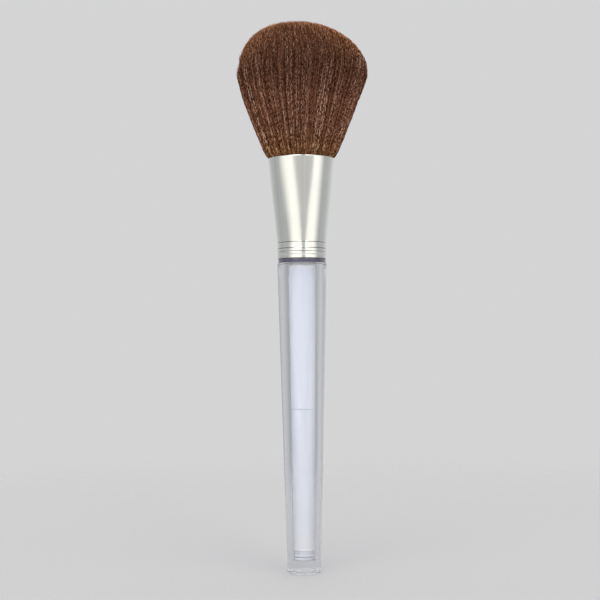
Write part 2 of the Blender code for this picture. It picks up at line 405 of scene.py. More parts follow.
def collar_violet():
    """Dark violet-grey lacquer, a little dusty."""
    material, tree, shader = start_material("collar_violet")
    dust = add_noise(tree, 700.0, detail=5.0)
    colour = add_ramp(tree, dust, [(0.35, (0.068, 0.061, 0.10)), (0.7, (0.10, 0.091, 0.135))])
    set_shader(
        tree,
        shader,
        Base_Color=colour,
        Roughness=add_range(tree, dust, 0.20, 0.34),
        Specular_IOR_Level=0.35,
        Sheen_Weight=0.7,
        Sheen_Roughness=0.4,
    )
    return material


def polished_metal():
    """Polished aluminium with faint lathe lines round it, darkened in its crimps by painted shade and
    grime.
    """
    material, tree, shader = start_material("polished_metal")
    lathe = add_noise(tree, 240.0, detail=4.0, stretch=(0.05, 0.05, 14.0))
    handling = add_noise(tree, 180.0, detail=6.0)
    bright = add_ramp(tree, handling, [(0.3, (0.86, 0.865, 0.84)), (0.7, (0.90, 0.90, 0.875))])
    # The dark base colour in the crimps is painted shade and grime.
    outside_crimp_shade = add_step(tree, add_radius(tree), *CRIMP_SHADE_AND_GRIME_RADII)
    set_shader(
        tree,
        shader,
        Base_Color=add_mix(tree, outside_crimp_shade, (0.16, 0.155, 0.15, 1.0), bright),
        Metallic=1.0,
        Roughness=add_range(tree, handling, 0.07, 0.11),
        Normal=add_bump(tree, lathe, 0.05, 0.00002),
    )
    return material


def brown_hair():
    """Brown, crimped hair, with painted glints and shade specks along its strands. U gives a strand's
    tone column, and V runs from its root to its tip.
    """
    material, tree, shader = start_material("brown_hair")
    place = add_node(tree, "ShaderNodeUVMap", (("uv_map", HAIR_MAP),))
    axes = add_node(tree, "ShaderNodeSeparateXYZ", Vector=place.outputs["UV"])
    column = add_math(tree, "FLOOR", add_math(tree, "MULTIPLY", axes.outputs["X"], TONE_COLUMNS))
    tone = add_ramp(
        tree,
        add_math(tree, "DIVIDE", column, TONE_COLUMNS),
        [
            (0.0, (0.065, 0.018, 0.007)),
            (0.42, (0.198, 0.079, 0.041)),
            (0.78, (0.37, 0.187, 0.118)),
            (1.0, (0.60, 0.39, 0.275)),
        ],
    )
    # Painted glints and painted shade specks along each strand, which stand in for the light and shade
    # on its crimps.
    spot = add_node(
        tree,
        "ShaderNodeCombineXYZ",
        X=add_math(tree, "MULTIPLY", column, COLUMN_STEP),
        Y=add_math(tree, "MULTIPLY", axes.outputs["Y"], PAINTED_GLINT_RATE),
    )
    glint_noise = add_node(
        tree, "ShaderNodeTexNoise", Vector=spot.outputs["Vector"], Scale=1.0, Detail=1.5
    )
    painted_glints = add_ramp(
        tree, glint_noise.outputs["Fac"], [(0.42, (0.12, 0.07, 0.05)), (0.58, (2.15, 2.30, 2.42))]
    )
    chance = add_node(tree, "ShaderNodeTexWhiteNoise", (("noise_dimensions", "1D"),), W=column)
    plain = add_step(tree, chance.outputs["Value"], *PLAIN_STRANDS)
    painted_glints = add_mix(tree, plain, painted_glints, grey(1.0))
    with_painted_glints = add_mix(tree, 1.0, tone, painted_glints, "MULTIPLY")
    depth = add_ramp(
        tree,
        axes.outputs["Y"],
        [(0.15, (0.775, 0.775, 0.765)), (0.55, (0.84, 0.83, 0.83)), (0.85, (0.565, 0.547, 0.54))],
    )
    varied = add_mix(tree, 1.0, with_painted_glints, depth, "MULTIPLY")
    golden = add_ramp(
        tree,
        axes.outputs["Y"],
        [
            (0.0, (1.12, 1.12, 0.80)),
            (0.3, (1.0, 1.0, 1.0)),
            (0.98, (1.0, 1.0, 1.0)),
            (1.0, (2.75, 2.5, 2.05)),
        ],
    )
    colour = add_mix(tree, 1.0, varied, golden, "MULTIPLY")
    set_shader(tree, shader, Base_Color=colour, Roughness=0.55, Specular_IOR_Level=0.05)
    return material


def packed_hair_painted_shade():
    """The depth of the hair, where single strands no longer show, darkened with painted shade."""
    material, tree, shader = start_material("packed_hair_painted_shade")
    streaks = add_noise(tree, 900.0, stretch=(1.0, 1.0, 0.08))
    # dark browns: painted shade deep in the hair
    colour = add_ramp(tree, streaks, [(0.3, (0.03, 0.012, 0.008)), (0.7, (0.09, 0.04, 0.025))])
    set_shader(tree, shader, Base_Color=colour, Roughness=0.8)
    return material


def mottled(name, dark, light, roughness, scale):
    """A plain finish with a slow change of tone, for the pieces that the ferrule hides."""
    material, tree, shader = start_material(name)
    cloud = add_noise(tree, scale, detail=4.0)
    colour = add_ramp(tree, cloud, [(0.35, dark), (0.65, light)])
    set_shader(tree, shader, Base_Color=colour, Roughness=roughness)
    return material


# Turned pieces


def filleted(corners):
    """The points of a profile whose corners are (radius, height, fillet). A fillet of 0 is sharp."""
    points = []
    last = len(corners) - 1
    for i, (out, height, fillet) in enumerate(corners):
        corner = Vector((out, height))
        if fillet == 0.0 or i in (0, last):
            points.append(tuple(corner))
            continue
        before = (Vector(corners[i - 1][:2]) - corner).normalized()
        after = (Vector(corners[i + 1][:2]) - corner).normalized()
        half = before.angle(after) / 2
        middle = corner + (before + after).normalized() * fillet / math.sin(half)
        start = corner + before * fillet / math.tan(half) - middle
        end = corner + after * fillet / math.tan(half) - middle
        sweep = start.angle_signed(end)
        for step in range(FILLET_STEPS + 1):
            arm = start.copy()
            arm.rotate(Matrix.Rotation(-sweep * step / FILLET_STEPS, 2))
            points.append(tuple(middle + arm))
    return points


def turned(name, profile, material, closed=False):
    """A piece turned on the Z axis. The profile holds (radius, height) pairs down the outer side."""
    mesh = bpy.data.meshes.new(name)
    edges = [(i, i + 1) for i in range(len(profile) - 1)]
    if closed:
        edges.append((len(profile) - 1, 0))
    mesh.from_pydata([(out, 0.0, height) for out, height in profile], edges, [])
    mesh.materials.append(material)
    piece = add_object(name, mesh)
    screw = piece.modifiers.new("turn", "SCREW")
    screw.axis = "Z"
    screw.angle = math.tau
    screw.steps = TURN_STEPS
    screw.render_steps = TURN_STEPS
    screw.use_merge_vertices = True
    screw.merge_threshold = MERGE_DISTANCE
    screw.use_smooth_shade = True
    sharp = piece.modifiers.new("sharp", "EDGE_SPLIT")
    sharp.split_angle = math.radians(SHARP_ANGLE)
    sharp.use_edge_sharp = False
    shade = piece.modifiers.new("shade", "WEIGHTED_NORMAL")
    shade.weight = AREA_WEIGHT
    return piece


def place_piece(piece, slot, *nodes):
    """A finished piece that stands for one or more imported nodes."""
    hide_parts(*nodes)
    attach(piece, "root")


def add_sleeve():
    """The clear handle: a tapered body with a chamfered foot and a blind bore, and its tenon."""
    rise = (SHOULDER - UPPER_CORE_LOW.z) / (TENON_TOP - UPPER_CORE_LOW.z)
    bore = between(BORE_SEAM_RADIUS, BORE_MOUTH_RADIUS, rise)
    body = [
        (0.0, BORE_FLOOR, 0.0),
        (BORE_FLOOR_RADIUS, BORE_FLOOR, SOFT_EDGE),
        (BORE_SEAM_RADIUS, UPPER_CORE_LOW.z, 0.0),
        (bore, SHOULDER, 0.0),
        (SHOULDER_RADIUS, SHOULDER, SHOULDER_ROUND),
        (FOOT_RADIUS, FOOT_CHAMFER, SOFT_EDGE),
        (FOOT_RADIUS - FOOT_CHAMFER, 0.0, SOFT_EDGE),
        (0.0, 0.0, 0.0),
    ]
    foot = SHOULDER + SEAM_GAP
    tenon = [
        (bore, foot, 0.0),
        (BORE_MOUTH_RADIUS, TENON_TOP, SOFT_EDGE),
        (TENON_RADIUS, TENON_TOP, SOFT_EDGE),
        (TENON_RADIUS, foot, SOFT_EDGE),
    ]
    material = clear_acrylic()
    for name, corners, closed in (("clear_handle", body, False), ("handle_tenon", tenon, True)):
        piece = turned(name, filleted(corners), material, closed)
        place_piece(piece, "clear_acrylic", "handle_sleeve")


def core_corners(low, high, foot_radius, top_radius):
    """The corners of one length of the core."""
    return [
        (0.0, high, 0.0),
        (top_radius, high, SOFT_EDGE),
        (foot_radius, low, SOFT_EDGE),
        (0.0, low, 0.0),
    ]


def add_cores():
    """The satin core, in two lengths that meet at the seam, and its end cap."""
    lavender = (0.82, 0.838, 0.917)
    pale = (0.84, 0.858, 0.919)
    light_grey = (0.81, 0.812, 0.82)
    grey_lavender = (0.81, 0.83, 0.888)
    # bright: a painted highlight on the lower edge of the lower length
    bright = (0.98, 0.985, 1.0)
    # white: painted light at the top of the upper length, against the shade under the collar
    white = (1.0, 1.0, 1.0)
    trim = (FIT_GAP - SEAM_GAP) / 2
    upper = core_corners(
        UPPER_CORE_LOW.z - trim, UPPER_CORE_HIGH.z, LOWER_CORE_HIGH.x, UPPER_CORE_HIGH.x
    )
    colours = (pale, pale, lavender, white)
    material = satin_core("satin_core", UPPER_CORE_LOW.z, SHOULDER, colours)
    place_piece(turned("core_upper", filleted(upper), material), "satin_core", "upper_core")
    end = LOWER_CORE_LOW.z + CAP_RISE
    lower = core_corners(end, LOWER_CORE_HIGH.z + trim, CAP_HIGH.x, LOWER_CORE_HIGH.x)
    colours = (bright, light_grey, grey_lavender, grey_lavender)
    material = satin_core("grey_core", end, LOWER_CORE_HIGH.z, colours)
    place_piece(turned("core_lower", filleted(lower), material), "grey_core", "lower_core")
    add_end_cap(end - SEAM_GAP)


def add_end_cap(top):
    """The core's end cap, with a rim and a groove under it, on the floor of the bore."""
    rim = CAP_RADIUS + CAP_RIM_REACH
    foot = BORE_FLOOR + SEAM_GAP
    rim_top = CAP_LOW.z + CAP_RIM_LEVEL
    rim_foot = rim_top - CAP_RIM_HEIGHT
    groove = rim_foot - CAP_GROOVE_WIDTH / 2
    corners = [
        (0.0, top, 0.0),
        (CAP_RADIUS, top, CAP_EDGE),
        (CAP_RADIUS, rim_top, 0.0),
        (rim, rim_top - CAP_RIM_REACH, CAP_EDGE),
        (rim, rim_foot, CAP_EDGE),
        (CAP_RADIUS, rim_foot, 0.0),
        (CAP_RADIUS - CAP_GROOVE_DEPTH, groove, 0.0),
        (CAP_RADIUS, groove - CAP_GROOVE_WIDTH / 2, 0.0),
        (CAP_RADIUS, foot, CAP_EDGE),
        (0.0, foot, 0.0),
    ]
    material = end_cap(foot, rim_foot, rim_top, top)
    place_piece(turned("core_cap", filleted(corners), material), "grey_core", "core_end_cap")


def add_collar():
    """The dark band, which fills the space between the shoulder and the ferrule."""
    top = COLLAR_HIGH.z + FIT_GAP * COLLAR_GAP_SHARE
    foot = COLLAR_LOW.z - FIT_GAP * COLLAR_GAP_SHARE
    inner = TENON_RADIUS + COLLAR_EDGE
    corners = [
        (inner, top, COLLAR_EDGE),
        (COLLAR_HIGH.x, top, COLLAR_EDGE),
        (COLLAR_HIGH.x, foot, COLLAR_EDGE),
        (inner, foot, COLLAR_EDGE),
    ]
    piece = turned("collar_band", filleted(corners), collar_violet(), closed=True)
    place_piece(piece, "collar_violet", "collar_ring")


def add_ferrule():
    """The ferrule: a rolled lip, a straight taper, four crimps and a lower edge turned in."""
    taper_foot = FERRULE_FOOT + CRIMP_ZONE
    corners = [
        (LOWER_RADIUS - FERRULE_WALL, FERRULE_FOOT, FERRULE_FOOT_ROUND),
        (LOWER_RADIUS - FERRULE_WALL, taper_foot, 0.0),
        (MOUTH_RADIUS - FERRULE_WALL, FERRULE_MOUTH, MOUTH_INNER_ROUND),
        (MOUTH_RADIUS, FERRULE_MOUTH, MOUTH_OUTER_ROUND),
    ]
    lowest = FERRULE_FOOT + CRIMP_WIDTH / 2
    highest = taper_foot - CRIMP_WIDTH / 2
    levels = [between(lowest, highest, share) for share in CRIMP_PLACE_SHARES]
    for middle, share in zip(levels, CRIMP_DEPTH_SHARES):
        corners.append((LOWER_RADIUS, middle + CRIMP_WIDTH / 2, 0.0))
        corners.append((LOWER_RADIUS - CRIMP_DEPTH * share, middle, 0.0))
        corners.append((LOWER_RADIUS, middle - CRIMP_WIDTH / 2, 0.0))
    corners.append((LOWER_RADIUS, FERRULE_FOOT, FERRULE_FOOT_ROUND))
    piece = turned("ferrule_shell", filleted(corners), polished_metal(), closed=True)
    place_piece(piece, "polished_metal", "ferrule")


# Hair

HAIR_SEED = 7
GOLDEN_SHARE = 3.0 - math.sqrt(5.0)  # the golden angle, as a share of half a turn
HEAD_RADIUS = 0.02195  # of the head at its widest level
WIDEST_LEVEL = CROWN - 0.0177
RIM_RADIUS = 0.0115  # where the hair swells over the ferrule's mouth
ROOT_DEPTH = 0.0015  # how far down the ferrule the strands start
SQUEEZE_DEPTH = 0.0011  # how much the ferrule's mouth draws the hair in
SQUEEZE_HEIGHT = 0.0007
SPREAD_POWER = 1.15
CROWN_POWERS = (2.1, 2.28)
DOME_STEPS = 400
CURL_SHARE = 0.3  # how much of the dome's curve the upper strands follow
SHELL_SHARE = 0.84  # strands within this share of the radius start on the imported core
CORE_DEPTH = 0.0032  # from the crown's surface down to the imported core
CORE_RINGS = 24  # of each of its two stretches
MOUTH_RINGS = (-ROOT_DEPTH, -0.0001, 0.0002, 0.0006, 0.0012)  # heights above the ferrule's mouth
STRAND_SIDES = 3
SHARE_JITTER = 0.004  # of a strand's share of the radius
TURN_JITTER = 0.01  # of its turn, in radians
TIP_JITTER = 0.00022  # of its tip's level
CLUMPS = 1300
CLUMP_JITTER = 0.010  # of a clump's middle, as a share of the radius
CLUMP_PULL = 0.16  # how far a strand's tip is drawn to the middle of its clump
PULL_START = 0.05  # where that begins and how long it grows, on the way from root to tip
PULL_STRETCH = 0.5
ROOT_WIDTH = 0.00009  # half of a strand's width at its root
TIP_WIDTH = 0.000018  # and at its tip
WIDEN_SHARE = 0.35  # the share of the way that takes a strand to its full width
TAPER_SHARE = 0.10  # and the share that takes it to its tip's
TAPER_POWER = 0.7
WAVE_RISE = 0.003  # the height over the ferrule's mouth at which the waves are full
CRIMP_WAVE_DEPTH = 0.00005
CRIMP_WAVE_LENGTHS = (0.0017, 0.0028)
CRIMP_PHASE_JITTER = 0.9  # of a strand's crimp beside its clump's, in radians
SLOW_WAVE_DEPTH = 0.00006
SLOW_WAVE_LENGTHS = (0.006, 0.012)
LOCKS = 58  # the locks that the head's surface parts into
LOCK_JITTER = 0.35
LOCK_GROOVE = 0.020  # half of the groove between two locks, in radians
LOCK_GROOVE_DEPTH = 0.013  # as a share of the radius
LOOSE_SHARE = 0.05  # of the surface strands that stand out from the head
LOOSE_SPREAD = 0.032  # how far out their tips can be, as a share of the radius
LOOSE_RANGE = (0.3, 1.0)  # the shares of that spread

# A strand's tone, from 0, dark, to 1, pale: its middle, and what each thing changes
MIDDLE_TONE = 0.50
STRAND_TONE = 0.26
CLUMP_TONE = 0.015
LOCK_TONE = 0.02
# painted shade on the strands in the grooves between locks
LOCK_GROOVE_PAINTED_SHADE = 0.16
HIGHEST_TONE = 0.999
COLUMN_MARGIN = 0.25  # of a tone column, left free on both sides of a strand

# The head leans a little to the right below its dome and to the left at its crown, in metres
LEAN_HEIGHTS = (0.019, 0.027, 0.032, 0.038, 0.043, 0.0457)
LEANS = (0.0, 0.0005, 0.0007, -0.0001, -0.0011, -0.0017)

# The strands from one share of the radius to another
Layer = namedtuple("Layer", "name low high strands rings tip_crowding half_width sectors")
Clumps = namedtuple("Clumps", "centres tones phases lengths")
Locks = namedtuple("Locks", "edges tones")

LAYERS = (
    Layer("surface", 0.955, 1.0, 3000, 72, 1.0, 0.00009, 8),
    Layer("shell", SHELL_SHARE, 0.955, 5200, 20, 1.9, 0.000095, 5),
    Layer("inner", 0.0, SHELL_SHARE, 8400, 9, 1.0, 0.000105, 4),
)


def fan_radius(height):
    """The head's radius before the dome closes it, at a level or an array of levels."""
    share = np.clip((height - FERRULE_MOUTH) / (WIDEST_LEVEL - FERRULE_MOUTH), 0.0, 1.0)
    fan = between(RIM_RADIUS, HEAD_RADIUS, 1.0 - (1.0 - share) ** SPREAD_POWER)
    above = np.clip(height - FERRULE_MOUTH, 0.0, None)
    return fan - SQUEEZE_DEPTH * np.exp(-above / SQUEEZE_HEIGHT)


def dome_share(height):
    """The dome's radius above the widest level, as a share of the head's radius."""
    share = np.clip((height - WIDEST_LEVEL) / (CROWN - WIDEST_LEVEL), 0.0, 1.0)
    return (1.0 - share ** CROWN_POWERS[0]) ** (1.0 / CROWN_POWERS[1])


def flow_radius(height):
    """The radius that an outermost strand would follow, which curls in a little above the middle."""
    return fan_radius(height) * (1.0 - CURL_SHARE * (1.0 - dome_share(height)))


def tip_level(share):
    """The level at which a strand at a share of the radius meets the dome."""
    levels = np.linspace(CROWN, WIDEST_LEVEL, DOME_STEPS)
    shares = dome_share(levels) / (1.0 - CURL_SHARE * (1.0 - dome_share(levels)))
    return np.interp(share, shares, levels)


def lean_at(height):
    """How far the head's middle lies to the right at a level."""
    return np.interp(height - FERRULE_MOUTH, LEAN_HEIGHTS, LEANS)


def spread_points(count, low, high):
    """Shares of the radius and turns, evenly spread over the ring between two shares."""
    number = np.arange(count) + 0.5
    share = np.sqrt(between(low**2, high**2, number / count))
    return share, number * math.pi * GOLDEN_SHARE


def make_clumps(rng):
    """The clumps that the strands gather in: their middles in plan, their tones and their crimps."""
    share, turn = spread_points(CLUMPS, 0.0, 1.0)
    centres = np.stack([share * np.cos(turn), share * np.sin(turn)], axis=1)
    centres += rng.normal(0.0, CLUMP_JITTER, centres.shape)
    return Clumps(
        centres,
        rng.normal(0.0, 1.0, CLUMPS),
        rng.uniform(0.0, math.tau, (CLUMPS, 2)),
        rng.uniform(*CRIMP_WAVE_LENGTHS, (CLUMPS, 2)),
    )


def nearest_clumps(places, clumps):
    """The number of the nearest clump to each place in the plan of the head."""
    tree = kdtree.KDTree(CLUMPS)
    for i, (x, y) in enumerate(clumps.centres):
        tree.insert((x, y, 0.0), i)
    tree.balance()
    return np.array([tree.find((x, y, 0.0))[1] for x, y in places])


def make_locks(rng):
    """The locks of the surface: the turns at which they part, and their tones."""
    step = math.tau / LOCKS
    edges = np.arange(LOCKS) * step + rng.uniform(-LOCK_JITTER, LOCK_JITTER, LOCKS) * step
    return Locks(edges, rng.normal(0.0, 1.0, LOCKS))


def lock_share(turn, locks):
    """How deep in the groove between two locks each strand lies, from 0 to 1, and its lock's tone."""
    away = (turn[:, None] - locks.edges[None, :] + math.pi) % math.tau - math.pi
    groove = np.exp(-((np.abs(away).min(axis=1) / LOCK_GROOVE) ** 2))
    after = np.where(away >= 0.0, away, math.tau).argmin(axis=1)
    return groove, locks.tones[after]


def ring_levels(layer, tips):
    """The levels of each strand's rings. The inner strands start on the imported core."""
    if layer.high <= SHELL_SHARE:
        steps = np.linspace(0.0, 1.0, layer.rings)
        return tips[:, None] - (CORE_DEPTH + ROOT_DEPTH) * (1.0 - steps)
    steps = np.linspace(0.0, 1.0, layer.rings + 1)[1:]
    steps = 1.0 - (1.0 - steps) ** layer.tip_crowding
    mouth = FERRULE_MOUTH + np.array(MOUTH_RINGS)
    above = between(mouth[-1], tips[:, None], steps[None, :])
    return np.concatenate([np.tile(mouth, (len(tips), 1)), above], axis=1)


def add_waves(middles, levels, clumps, nearest, rng):
    """The slow wave of each strand and the crimp that it shares with its clump."""
    count = len(middles)
    grown = np.clip((levels - FERRULE_MOUTH) / WAVE_RISE, 0.0, 1.0)
    for axis in (0, 1):
        length = rng.uniform(*SLOW_WAVE_LENGTHS, count)[:, None]
        phase = rng.uniform(0.0, math.tau, count)[:, None]
        slow = SLOW_WAVE_DEPTH * np.sin(levels / length * math.tau + phase)
        length = clumps.lengths[nearest, axis][:, None]
        phase = clumps.phases[nearest, axis] + rng.normal(0.0, CRIMP_PHASE_JITTER, count)
        crimp = CRIMP_WAVE_DEPTH * np.sin(levels / length * math.tau + phase[:, None])
        middles[..., axis] += grown * (slow + crimp)


def strand_widths(layer, way):
    """Half of each ring's width."""
    widen = np.clip(way / WIDEN_SHARE, 0.0, 1.0)
    taper = np.clip((1.0 - way) / TAPER_SHARE, 0.0, 1.0)
    return between(TIP_WIDTH, between(ROOT_WIDTH, layer.half_width, widen), taper**TAPER_POWER)


def strand_rings(layer, clumps, locks, rng):
    """Middles of the rings (strand, ring, axis), half widths, ways from root to tip, and tones."""
    count = layer.strands
    share, turn = spread_points(count, layer.low, layer.high)
    share = np.clip(share + rng.normal(0.0, SHARE_JITTER, count), 0.0, 1.0)
    turn = turn + rng.normal(0.0, TURN_JITTER, count)
    groove, lock_tones = lock_share(turn, locks)
    share = share * (1.0 - LOCK_GROOVE_DEPTH * groove)
    tips = tip_level(share) + rng.normal(0.0, TIP_JITTER, count)
    levels = ring_levels(layer, tips)
    full = tips[:, None] - FERRULE_MOUTH + ROOT_DEPTH
    way = np.clip((levels - FERRULE_MOUTH + ROOT_DEPTH) / full, 0.0, 1.0)

    places = np.stack([share * np.cos(turn), share * np.sin(turn)], axis=1)
    nearest = nearest_clumps(places, clumps)
    pull = CLUMP_PULL * np.clip((way - PULL_START) / PULL_STRETCH, 0.0, 1.0)[..., None]
    places = places[:, None, :] * (1.0 - pull) + clumps.centres[nearest][:, None, :] * pull
    if layer.high == 1.0:
        loose = (rng.random(count) < LOOSE_SHARE) * rng.uniform(*LOOSE_RANGE, count) * LOOSE_SPREAD
        places *= 1.0 + (loose[:, None] * way**2)[..., None]
    middles = np.concatenate([places * flow_radius(levels)[..., None], levels[..., None]], axis=2)
    middles[..., 0] += lean_at(levels)
    add_waves(middles, levels, clumps, nearest, rng)

    tones = MIDDLE_TONE + CLUMP_TONE * clumps.tones[nearest]
    tones = tones + STRAND_TONE * rng.normal(0.0, 1.0, count)
    # The strands in a groove between two locks are darkened: painted shade.
    tones += LOCK_TONE * lock_tones - LOCK_GROOVE_PAINTED_SHADE * groove
    return middles, strand_widths(layer, way), way, np.clip(tones, 0.0, HIGHEST_TONE)


def strand_points(middles, widths):
    """The corners of the strands' rings, by strand, ring and corner."""
    along = np.gradient(middles, axis=1)
    along /= np.linalg.norm(along, axis=2, keepdims=True)
    turn = np.arctan2(middles[:, 0, 1], middles[:, 0, 0])
    side = np.stack([-np.sin(turn), np.cos(turn), np.zeros(len(turn))], axis=1)[:, None, :]
    out = np.cross(side, along)
    out /= np.linalg.norm(out, axis=2, keepdims=True)
    side = np.cross(along, out)
    corners = []
    for corner in range(STRAND_SIDES):
        angle = math.tau * corner / STRAND_SIDES
        offset = out * math.cos(angle) + side * math.sin(angle)
        corners.append(middles + offset * widths[..., None])
    return np.stack(corners, axis=2).reshape(-1, 3)


def strand_faces(count, rings):
    """The point numbers round the strands' sides, four to a face, and round their two ends."""
    per_strand = rings * STRAND_SIDES
    ring = np.arange(rings - 1)[:, None]
    corner = np.arange(STRAND_SIDES)[None, :]
    following = (corner + 1) % STRAND_SIDES
    low = ring * STRAND_SIDES
    high = low + STRAND_SIDES
    quads = np.stack([low + corner, low + following, high + following, high + corner], axis=-1)
    quads = quads.reshape(-1, 4)
    first = np.arange(STRAND_SIDES)[::-1]
    last = np.arange(STRAND_SIDES) + per_strand - STRAND_SIDES
    starts = np.arange(count)[:, None, None] * per_strand
    sides = (starts + quads[None]).reshape(-1)
    ends = (starts + np.stack([first, last])[None]).reshape(-1)
    return sides, ends


def strand_map(way, tones):
    """The UV points of those faces. A strand lies in the tone column of its tone."""
    count, rings = way.shape
    column = (np.floor(tones * TONE_COLUMNS) / TONE_COLUMNS)[:, None, None]
    corner = np.arange(STRAND_SIDES)[None, :]
    across = np.stack([corner, corner + 1, corner + 1, corner], axis=-1) / STRAND_SIDES
    across = across * (1.0 - 2.0 * COLUMN_MARGIN) + COLUMN_MARGIN
    across = np.broadcast_to(across / TONE_COLUMNS, (rings - 1, STRAND_SIDES, 4))
    side_u = column[..., None] + across[None]
    low, high = way[:, :-1], way[:, 1:]
    side_v = np.stack([low, low, high, high], axis=-1)[:, :, None, :]
    side_v = np.broadcast_to(side_v, side_u.shape)
    sides = np.stack([side_u, side_v], axis=-1).reshape(-1, 2)
    end_u = np.broadcast_to(column + 0.5 / TONE_COLUMNS, (count, 2, STRAND_SIDES))
    end_v = np.stack([way[:, 0], way[:, -1]], axis=1)[:, :, None]
    end_v = np.broadcast_to(end_v, end_u.shape)
    ends = np.stack([end_u, end_v], axis=-1).reshape(-1, 2)
    return np.concatenate([sides, ends])


def strand_mesh(name, middles, widths, way, tones):
    """One mesh of closed, tapered strands, with the hair's UV map."""
    points = strand_points(middles, widths)
    sides, ends = strand_faces(*way.shape)
    side_starts = np.arange(len(sides) // 4) * 4
    end_starts = len(sides) + np.arange(len(ends) // STRAND_SIDES) * STRAND_SIDES
    starts = np.concatenate([side_starts, end_starts])
    loops = np.concatenate([sides, ends])
    mesh = bpy.data.meshes.new(name)
    mesh.vertices.add(len(points))
    mesh.vertices.foreach_set("co", points.ravel())
    mesh.loops.add(len(loops))
    mesh.loops.foreach_set("vertex_index", loops.astype(np.int32))
    mesh.polygons.add(len(starts))
    mesh.polygons.foreach_set("loop_start", starts)
    mesh.polygons.foreach_set("use_smooth", np.ones(len(starts), bool))
    uv_map = mesh.uv_layers.new(name=HAIR_MAP)
    uv_map.uv.foreach_set("vector", strand_map(way, tones).ravel())
    mesh.update()
    mesh.validate()
    return mesh


def add_packed_core():
    """The closed body that the inner strands grow from, under the surface of the hair. Its dark colour
    is painted shade.
    """
    foot = FERRULE_MOUTH - ROOT_DEPTH
    lower = np.linspace(foot, tip_level(SHELL_SHARE) - CORE_DEPTH, CORE_RINGS)
    shares = np.linspace(SHELL_SHARE, 0.0, CORE_RINGS)[1:]
    upper = tip_level(shares) - CORE_DEPTH
    points = [(SHELL_SHARE * flow_radius(level), level) for level in lower]
    points += [(share * flow_radius(level), level) for share, level in zip(shares, upper)]
    points.reverse()
    points.append((0.0, foot))
    piece = turned("packed_hair_painted_shade", points, packed_hair_painted_shade())
    place_piece(piece, "brown_hair", "bristles")


def add_hair():
    """The loose hair, in one piece for each sector of each layer."""
    rng = np.random.default_rng(HAIR_SEED)
    material = brown_hair()
    clumps = make_clumps(rng)
    locks = make_locks(rng)
    for layer in LAYERS:
        middles, widths, way, tones = strand_rings(layer, clumps, locks, rng)
        turn = np.arctan2(middles[:, 0, 1], middles[:, 0, 0]) / math.tau % 1.0
        sector = np.floor(turn * layer.sectors).astype(int)
        for number in range(layer.sectors):
            pick = sector == number
            name = f"hair_{layer.name}_{number + 1}"
            mesh = strand_mesh(name, middles[pick], widths[pick], way[pick], tones[pick])
            mesh.materials.append(material)
            place_piece(add_object(name, mesh), "brown_hair", "bristles")


# Studio

BACKDROP = (0.66, 0.66, 0.66 * 1.01)
FLOOR_RADIUS = 0.50
FLOOR_SIDES = 96
FLOOR_SOLID_RADIUS = 0.16  # the floor fades into the backdrop from here to its edge
FLOOR_GAP = 0.00005

# One wide, soft lamp overhead, in metres
LAMP_PLACE = (0.0, -0.15, 0.95)
LAMP_RADIUS = 0.45
LAMP_TONE = 0.6  # how bright its face is, 1 being white

# The room. A direction is told by its shares along the axes
REAR_TILT = 0.14  # how much lighter it gets to the right, behind the brush
CLUTTER_SCALE = 0.12  # of its uneven tone, by azimuth
CEILING_EDGE = (0.2, 0.7)  # it turns into the ceiling between these shares along Z
CEILING = (0.60, 0.60, 0.61, 1.0)

# Two tall light panels stand to the left and right of the camera, and are part of the room. Angles in
# degrees, azimuth 0 being the camera's side and running to the right
PANEL_COLOUR = (1.16, 1.14, 1.07, 1.0)
PANEL_MIDDLE = 7.5
LEFT_INNER = (3.0, 12.5)  # where each panel's inner edge starts and ends, from the middle
RIGHT_INNER = (6.2, 9.2)
PANEL_OUTER = (43.0, 73.0)  # where its outer edge ends and starts
BULGE_LEVEL = -0.3  # the outer edges reach out round this elevation, and move to the left
BULGE_HEIGHT = 5.0
BULGE_WIDTH = 21.5
BULGE_SHIFT = 7.5
NOTCH_WIDTH = 33.0  # the inner edges draw back round the camera, in a diamond
NOTCH_HEIGHT = 5.2
NOTCH_LEVEL = -2.0

# A brighter band of light above the panels
GLOW_TONE = 7.4
GLOW_MIDDLE = -3.0
GLOW_SIDE = (22.0, 50.0)
GLOW_FOOT = (8.5, 12.0)
GLOW_TOP = (17.0, 29.0)

# Soft light from low behind, which polished and clear surfaces and the camera don't see
FILL_TONE = 1.5
FILL_EDGE = (0.1, 0.6)  # where it starts and is full, as the direction's share along Y
FILL_TOP = (0.3, 0.65)  # and where it fades out above, as the share along Z


